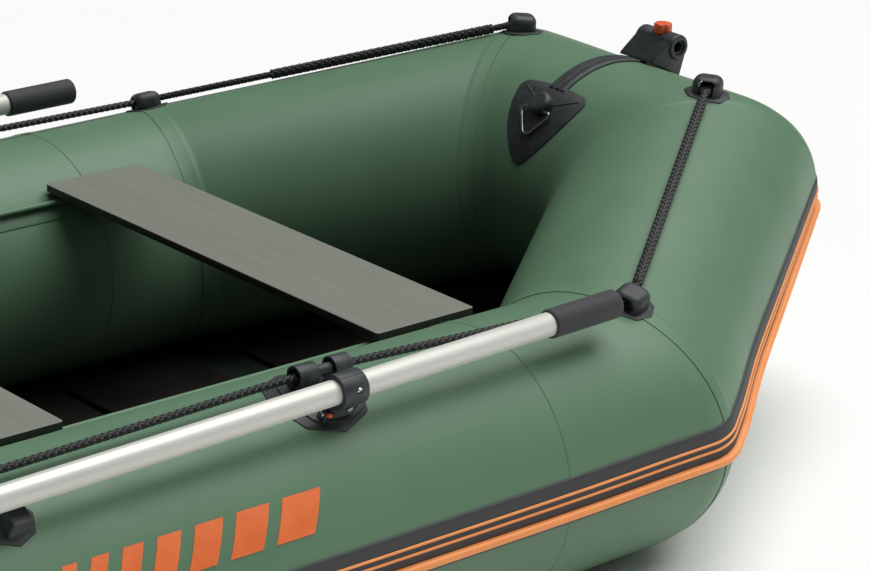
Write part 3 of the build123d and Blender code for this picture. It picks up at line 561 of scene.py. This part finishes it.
def make_ropes():
    for label, side in (("starboard", -1), ("port", 1)):
        control = [Vector((x, -y * side, z)) for x, y, z in LIFE_LINE]
        line = route_points("life_line_route_" + label, control, 40)
        rope = braid("life_line_" + label, line, ROPE_D, ROPE_LAY)
        finish_piece(rope, ROPE, "hull", ("lifeline_" + label,))
        knee, bow = control[AT_KNEE], control[AT_BOW]
        begin = SPLICE_GAP if side < 0 else PORT_SPLICE_START
        splice_line = [p for p in line if p.x > knee.x and (p - knee).length > begin
                       and (bow - p).length > SPLICE_GAP]
        splice = braid("life_line_splice_" + label, splice_line, SPLICE_D, SPLICE_LAY)
        finish_piece(splice, ROPE)
        if side < 0:
            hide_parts("rope_splices")
        eye = make_eye(label, bow, (bow - knee).normalized())


# ------------------------------------------------------------------ tubes, strake and rails
def way(i):
    """The direction of tube i."""
    return (RING[(i + 1) % 8] - RING[i % 8]).normalized()


def out_of(i):
    """The level direction out of the boat, square to tube i."""
    return way(i).cross(UP).normalized()


def top_of(i):
    return out_of(i).cross(way(i)).normalized()


def mitre_plane(i):
    """The normal of the cut between tubes i - 1 and i."""
    return (way(i - 1) + way(i)).normalized()


def through_mitre(offset, plane):
    """An offset from one tube's axis as the tube on the other side of the mitre sees it."""
    return offset - plane * (2 * offset.dot(plane))


def end_offsets(i, across, up):
    """The offsets of one profile point at both ends of tube i.  The quarters take them over from
    their level neighbours, so that a strake runs on through the mitre without a step."""
    own = out_of(i) * across + top_of(i) * up
    if i % 2 == 0:
        return own, own
    before = out_of(i - 1) * across + top_of(i - 1) * up
    after = out_of((i + 1) % 8) * across + top_of((i + 1) % 8) * up
    return through_mitre(before, mitre_plane(i)), through_mitre(after, mitre_plane(i + 1))


KNEE_PUSH = Vector((0.016, 0, 0.004))
BOW_PUSH = Vector((0.005, 0, 0.012))
CORNER_PUSH = {1: KNEE_PUSH, 2: BOW_PUSH, 3: BOW_PUSH, 4: KNEE_PUSH}
PUSH_REACH = 0.13              # how far along a tube its corner is still fuller


def fuller(place, i, share):
    """The knees and corners of the bow are cut fuller on the outside than plain mitres are."""
    for corner in (i, (i + 1) % 8):
        if corner in CORNER_PUSH:
            reach = (place - RING[corner]).dot(way(i)) / PUSH_REACH
            place = place + CORNER_PUSH[corner] * share * math.exp(-reach ** 2)
    return place


def bend(before, corner, after, t):
    """A point on the eased line that runs from before to after and is drawn to the corner."""
    return before * (1 - t) ** 2 + corner * (2 * t * (1 - t)) + after * t ** 2


def along_tube(i, across, up, spans, bend_steps=6):
    """The line that one point of a tube's profile draws along tube i, eased into the bend at each
    mitre.  across and up are measured from the tube's axis; spans are extra places along the tube,
    in metres from its start.  Those that fall in a bend are spread evenly over the rest."""
    a, b, d = RING[i], RING[(i + 1) % 8], way(i)
    near, far = end_offsets(i, across, up)
    first, last = mitre_plane(i), mitre_plane(i + 1)
    start = a + near - d * (near.dot(first) / d.dot(first))
    end = b + far - d * (far.dot(last) / d.dot(last))
    radius = math.hypot(across, up)
    share = max(0.0, across / radius) ** 2
    start += CORNER_PUSH.get(i, Vector()) * share
    end += CORNER_PUSH.get((i + 1) % 8, Vector()) * share
    ease_in, ease_out = way(i - 1) * KNEE_ROUNDING, way(i + 1) * KNEE_ROUNDING
    ease = d * KNEE_ROUNDING
    halves = [0.5 * n / bend_steps for n in range(bend_steps + 1)]
    line = [bend(start - ease_in, start, start + ease, 0.5 + t) for t in halves]
    low, high = (start - a).dot(d) + KNEE_ROUNDING, (end - a).dot(d) - KNEE_ROUNDING
    for s in spans:
        if low + 0.002 < s < high - 0.002:
            offset = near.lerp(far, (s - low) / (high - low)).normalized() * radius
            line.append(fuller(a + d * s + offset, i, share))
        else:
            line.append(None)
    line += [bend(end - ease, end, end + ease_out, t) for t in halves]
    return filled(line)


def filled(line):
    """Replaces the gaps in a line with places spread evenly between their neighbours."""
    out = list(line)
    k = 0
    while k < len(out):
        if out[k] is None:
            stop = k
            while out[stop] is None:
                stop += 1
            a, b = out[k - 1], out[stop]
            for n in range(k, stop):
                out[n] = a.lerp(b, (n - k + 1) / (stop - k + 1))
            k = stop
        k += 1
    return out


SKIN_STEPS = 112               # round a tube
SKIN_BEND_STEPS = 10
SKIN_SPANS = 40
LAP_HEIGHT = 0.0009
LAP_BEND_STEPS = 8             # rows at each end of a quarter tube that make its lap
LAP_EDGE = 0.0012
LAP_SEAMS = {"tube_starboard": ((1.382, 1.398), (0.412, 0.428)),
             "tube_port": ((0.204, 0.220), (1.174, 1.190))}     # metres from the tube's start


def seam_spans(i):
    """Places along a tube: even steps, plus close pairs at the edges of each lap seam."""
    length = (RING[(i + 1) % 8] - RING[i]).length
    spans = [length * n / SKIN_SPANS for n in range(1, SKIN_SPANS)]
    for low, high in LAP_SEAMS.get(TUBES[i], ()):
        spans = [s for s in spans if not low - 0.012 < s < high + 0.012]
        spans += [low - LAP_EDGE, low, high, high + LAP_EDGE]
    return sorted(spans)


def lap_lift(i, spans, n, count):
    """How far row n of a tube's skin stands proud: on a cross seam, and on a quarter's laps."""
    lift = 0.0
    if SKIN_BEND_STEPS < n <= SKIN_BEND_STEPS + len(spans):
        s = spans[n - SKIN_BEND_STEPS - 1]
        if any(low - 0.0002 <= s <= high + 0.0002 for low, high in LAP_SEAMS.get(TUBES[i], ())):
            lift = LAP_HEIGHT
    if "quarter" in TUBES[i] and not LAP_BEND_STEPS <= n < count - LAP_BEND_STEPS:
        lift += LAP_HEIGHT
    return lift


def make_tube(i):
    """One air tube: a drum of fabric that turns into the next one at each mitre."""
    name = TUBES[i]
    spans = seam_spans(i)
    lines = []
    for k in range(SKIN_STEPS):
        turn = 2 * math.pi * k / SKIN_STEPS
        across, up = math.sin(turn), math.cos(turn)
        normal = out_of(i) * across + top_of(i) * up
        line = along_tube(i, across * TUBE_R, up * TUBE_R, spans, SKIN_BEND_STEPS)
        lines.append([place + normal * lap_lift(i, spans, n, len(line)) for n, place in enumerate(line)])
    rows = [list(row) for row in zip(*lines)]
    piece = mesh_from(name + "_skin", *loft(rows), 30)
    nodes = (name, "bulkheads") if name == "tube_starboard" else (name,)
    return finish_piece(piece, HULL, "hull", nodes)


PROFILE_SPANS = 26


def round_the_ring(profile):
    """A closed profile (across, up) run along all the tubes."""
    shapes = []
    for i in range(8):
        length = (RING[(i + 1) % 8] - RING[i]).length
        spans = [length * n / PROFILE_SPANS for n in range(1, PROFILE_SPANS)]
        lines = [along_tube(i, x, y, spans) for x, y in profile]
        shapes.append(loft([list(row) for row in zip(*lines)]))
    return joined(shapes)


BAND_THICK = 0.0025
BAND_OUTER = TUBE_R + BAND_THICK
BAND_LOW, BAND_HIGH = -0.025, 0.037
BAND_FACE_STEPS = 12
RIB_HEIGHTS = (0.0065, 0.017)
RIB_OUTLINE = [(-0.001, -0.0018), (0.0010, -0.0018), (0.0017, -0.0011), (0.0019, 0.0),
               (0.0017, 0.0011), (0.0010, 0.0018), (-0.001, 0.0018)]     # out of the band, up
BUMPER_Y, BUMPER_R, BUMPER_PROUD = -0.0125, 0.0056, 0.0062
BUMPER_ROOT = 0.0052           # how far the bumper's flat back lies behind its centre


def on_radius(radius, height):
    return (math.sqrt(radius ** 2 - height ** 2), height)


def make_strake():
    """The rubbing strake: a flat dark band, two thin ribs on it and a round bumper under them."""
    step = (BAND_HIGH - BAND_LOW) / BAND_FACE_STEPS
    face = [on_radius(BAND_OUTER, BAND_LOW + step * n) for n in range(1, BAND_FACE_STEPS)]
    low_edge = [on_radius(TUBE_R - 0.002, BAND_LOW), on_radius(TUBE_R + 0.0009, BAND_LOW - 0.0002),
                on_radius(BAND_OUTER - 0.0003, BAND_LOW + 0.0012)]
    high_edge = [on_radius(BAND_OUTER - 0.0003, BAND_HIGH - 0.0012),
                 on_radius(TUBE_R + 0.0009, BAND_HIGH + 0.0002), on_radius(TUBE_R - 0.002, BAND_HIGH)]
    band = mesh_from("rubbing_band", *round_the_ring(low_edge + face + high_edge), 50)
    finish_piece(band, BAND, "hull", ("strake_band",))
    shapes = []
    for height in RIB_HEIGHTS:
        shapes.append(round_the_ring([on_radius(BAND_OUTER + out, height + up) for out, up in RIB_OUTLINE]))
    centre, _ = on_radius(TUBE_R + BUMPER_PROUD, BUMPER_Y)
    bumper = [(centre - BUMPER_ROOT, BUMPER_Y - BUMPER_R)]
    for n in range(13):
        turn = -math.pi / 2 + math.pi * n / 12
        bumper.append((centre + BUMPER_R * math.cos(turn), BUMPER_Y + BUMPER_R * math.sin(turn)))
    bumper.append((centre - BUMPER_ROOT, BUMPER_Y + BUMPER_R))
    shapes.append(round_the_ring(bumper))
    ribs = mesh_from("strake_ribs_and_bumper", *joined(shapes), 50)
    finish_piece(ribs, STRAKE_ORANGE, "hull", ("strake_ribs",))


# ------------------------------------------------------------------ printed graphic on the side tubes
BAR_START = 0.118              # the first bar's forward edge, at the foot of the row
BAR_ANGLES = (52.0, 68.0)      # the bars' top and foot, degrees outboard of the tube's top
BAR_WIDTH = 0.058
BAR_GAP = 0.020
BAR_SHRINK = 0.84              # a bar's width against the bar ahead of it
BAR_LEAN = 0.62
BAR_COUNT = 9
BAR_STEPS = 12
INK_OUTER, INK_INNER = TUBE_R + 0.0007, TUBE_R - 0.001


def row_of_bars():
    """Node tree that repeats one bar along a tube: each is narrower than the one before it, and all
    lean over by the same slope."""
    tree = bpy.data.node_groups.new("row_of_bars", "GeometryNodeTree")
    for name, kind in (("Bar", "Geometry"), ("Count", "Int"), ("Width", "Float"), ("Gap", "Float"),
                       ("Shrink", "Float"), ("Lean", "Float"), ("Material", "Material")):
        tree.interface.new_socket(name, in_out="INPUT", socket_type="NodeSocket" + kind)
    tree.interface.new_socket("Row", in_out="OUTPUT", socket_type="NodeSocketGeometry")
    given = add(tree, "NodeGroupInput").outputs
    here = add(tree, "GeometryNodeInputPosition").outputs[0]
    value = {name: given[name] for name in ("Width", "Gap", "Shrink", "Lean")}
    value["one"], value["minus"] = 1.0, -1.0
    value["index"] = add(tree, "GeometryNodeInputIndex").outputs[0]
    value["height"] = add(tree, "ShaderNodeSeparateXYZ", None, {"Vector": here}).outputs["Z"]
    # the widths of the bars before this one add up to a geometric series
    for name, operation, first, second in (
            ("share", "POWER", "Shrink", "index"), ("lost", "SUBTRACT", "one", "share"),
            ("loss", "SUBTRACT", "one", "Shrink"), ("series", "DIVIDE", "lost", "loss"),
            ("widths", "MULTIPLY", "series", "Width"), ("gaps", "MULTIPLY", "index", "Gap"),
            ("reach", "ADD", "widths", "gaps"), ("back", "MULTIPLY", "reach", "minus"),
            ("slope", "MULTIPLY", "height", "Lean")):
        value[name] = add(tree, "ShaderNodeMath", {"operation": operation},
                          {0: value[first], 1: value[second]}).outputs[0]
    place = add(tree, "ShaderNodeCombineXYZ", None, {"X": value["back"]})
    line = add(tree, "GeometryNodeMeshLine", None, {"Count": given["Count"], "Offset": (0.0, 0.0, 0.0)})
    spread = add(tree, "GeometryNodeSetPosition", None,
                 {"Geometry": line.outputs[0], "Offset": place.outputs[0]})
    size = add(tree, "ShaderNodeCombineXYZ", None, {"X": value["share"], "Y": 1.0, "Z": 1.0})
    bars = add(tree, "GeometryNodeInstanceOnPoints", None,
               {"Points": spread.outputs[0], "Instance": given["Bar"], "Scale": size.outputs[0]})
    real = add(tree, "GeometryNodeRealizeInstances", None, {"Geometry": bars.outputs[0]})
    slope = add(tree, "ShaderNodeCombineXYZ", None, {"X": value["slope"]})
    leaned = add(tree, "GeometryNodeSetPosition", None,
                 {"Geometry": real.outputs[0], "Offset": slope.outputs[0]})
    painted = add(tree, "GeometryNodeSetMaterial", None,
                  {"Geometry": leaned.outputs[0], "Material": given["Material"]})
    add(tree, "NodeGroupOutput", None, {"Row": painted.outputs[0]})
    return tree


def set_inputs(modifier, tree, values):
    """Sets a node modifier's inputs by each socket's identifier."""
    modifier.node_group = tree
    for item in tree.interface.items_tree:
        if item.in_out == "INPUT" and item.name in values:
            modifier[item.identifier] = values[item.name]


def make_graphic():
    """A row of slanted bars that narrow towards the stern, printed on the outside of each side tube."""
    tree = row_of_bars()
    top, foot = [math.radians(angle) for angle in BAR_ANGLES]
    for label, side in (("starboard", -1), ("port", 1)):
        rows = []
        for n in range(BAR_STEPS + 1):
            angle = top + (foot - top) * n / BAR_STEPS
            y, z = side * math.sin(angle), math.cos(angle)
            rows.append([Vector((0, y * INK_OUTER, z * INK_OUTER)),
                         Vector((-BAR_WIDTH, y * INK_OUTER, z * INK_OUTER)),
                         Vector((-BAR_WIDTH, y * INK_INNER, z * INK_INNER)),
                         Vector((0, y * INK_INNER, z * INK_INNER))])
        piece = mesh_from("side_bars_" + label, *loft(rows, closed_ends=True), 30)
        repeat = piece.modifiers.new("row", "NODES")
        set_inputs(repeat, tree, {"Count": BAR_COUNT, "Width": BAR_WIDTH, "Gap": BAR_GAP,
                                  "Shrink": BAR_SHRINK, "Lean": BAR_LEAN, "Material": GRAPHIC_ORANGE})
        flattened(piece)
        start = BAR_START - BAR_LEAN * TUBE_R * math.cos(top)
        piece.data.transform(Matrix.Translation((start, side * 0.5, TUBE_R)))
        finish_piece(piece, GRAPHIC_ORANGE)


# ------------------------------------------------------------------ bow strap and towing patch
BOW_AXIS = Vector((1.198, 0, 0.310))
STRAP_HALF, STRAP_THICK = 0.017, 0.0045
STRAP_CHANNEL = 0.0022         # height of the two channels and of the strap's edges
STRAP_ANGLES = (-32.6, 22.0)   # degrees ahead of the bow tube's top
STRAP_STEPS = 48
RIDGE_OUTLINE = [(-0.0016, -0.0012), (-0.0014, 0.0004), (-0.0006, 0.0012), (0.0006, 0.0012),
                 (0.0014, 0.0004), (0.0016, -0.0012)]
RIDGE_ANGLES = (-42.0, -35.8)
RIDGE_Y = (0.015, 0.056)
RIDGE_FLOOR = TUBE_R + 0.0022  # the towing patch's face
RIDGE_STEPS = 24


def on_bow(degrees):
    """The outward direction on the bow tube at an angle from its top, and the forward one round it."""
    angle = math.radians(degrees)
    normal = Vector((math.sin(angle), 0, math.cos(angle)))
    return normal, Vector((math.cos(angle), 0, -math.sin(angle)))


def make_bow_strap():
    """Moulded strap over the bow tube, with three rounded ribs and two channels between them."""
    right = [(0.0, STRAP_THICK), (0.0042, STRAP_THICK - 0.0003), (0.0055, STRAP_CHANNEL),
             (0.0070, STRAP_CHANNEL), (0.0085, STRAP_THICK - 0.0002), (0.0125, STRAP_THICK),
             (STRAP_HALF - 0.0012, 0.0036), (STRAP_HALF, STRAP_CHANNEL), (STRAP_HALF, -0.0015)]
    section = [(-y, h) for y, h in reversed(right[1:])] + right
    start, stop = STRAP_ANGLES
    rows = []
    for n in range(STRAP_STEPS + 1):
        normal, _ = on_bow(start + (stop - start) * n / STRAP_STEPS)
        rows.append([BOW_AXIS + normal * (TUBE_R + h) + Vector((0, y, 0)) for y, h in section])
    piece = mesh_from("bow_strap_ribbed", *loft(rows, closed_ends=True), 40)
    finish_piece(piece, PATCH, "hull", ("bow_strap",))


def make_patch_ridges():
    """Two fine moulded ridges on the towing patch, from the boss to the patch's upper corners."""
    shapes = []
    for side in (-1, 1):
        rows = []
        for n in range(RIDGE_STEPS + 1):
            share = n / RIDGE_STEPS
            normal, slope = on_bow(RIDGE_ANGLES[0] + (RIDGE_ANGLES[1] - RIDGE_ANGLES[0]) * share)
            y = side * (RIDGE_Y[0] + (RIDGE_Y[1] - RIDGE_Y[0]) * share)
            across = (slope * 0.9 - Vector((0, side, 0)) * 0.45).normalized()
            place = BOW_AXIS + normal * RIDGE_FLOOR + Vector((0, y, 0))
            rows.append([place + across * w + normal * h for w, h in RIDGE_OUTLINE])
        shapes.append(loft(rows, closed_ends=True))
    piece = mesh_from("towing_patch_ridges", *joined(shapes), 50)
    finish_piece(piece, PATCH)


# ------------------------------------------------------------------ carried-over CAD pieces
def make_fittings():
    for node in ("guide_patches", "oarlock_patches", "towing_patch"):
        refined(node, 0.7, PATCH)
    for node, width in (("guide_bridges", 1.2), ("towing_boss", 0.8), ("roller_housing", 1.0),
                        ("oar_rests", 1.0), ("valve_bodies", 0.6), ("oarlock_base_starboard", 0.8),
                        ("oarlock_base_port", 0.8)):
        refined(node, width, NYLON)
    for side in ("starboard", "port"):
        refined("oarlock_rocker_" + side, 0.8, NYLON, "rocker_" + side)
        refined("lock_button_" + side, 0.4, KNOB_ORANGE, "release_" + side)
        refined("clamp_inner_" + side, 0.9, NYLON, "oar_" + side)
        refined("clamp_cover_" + side, 0.9, NYLON, "oar_" + side)
        refined("clamp_screws_" + side, 0.5, STEEL, "oar_" + side)
        refined("shaft_inboard_" + side, 0.3, ALUMINIUM, "oar_" + side)
        refined("shaft_outboard_" + side, 0.3, ALUMINIUM, "oar_" + side)
        refined("shaft_button_" + side, 0.3, STEEL, "snap_" + side)
        refined("blade_" + side, 1.5, NYLON, "oar_" + side)
        refined("grip_" + side, 1.0, FOAM, "oar_" + side)
        refined("valve_cap_" + side, 0.5, NYLON, "cap_" + side)
        refined("seat_rail_" + side, 0.4, HULL)
    refined("tilt_pins", 0.5, STEEL)
    refined("roller", 0.5, NYLON, "line_roller")
    refined("roller_knob", 0.8, KNOB_ORANGE, "roller_lock")
    refined("towing_ring", 0.2, DARK_STEEL, "tow_ring")
    refined("floor_boards", 0.8, FLOOR_PLY)
    refined("bottom_skin", 0.2, BOTTOM)
    for end in ("front", "rear"):
        refined("bench_" + end, 0.6, BENCH_PLY, f"bench_{end}_seat")
        refined("bench_slides_" + end, 0.6, NYLON, f"bench_{end}_seat")


make_camera()
make_ropes()
make_studio()
for index in range(8):
    make_tube(index)
make_strake()
make_graphic()
make_bow_strap()
make_patch_ridges()
make_fittings()
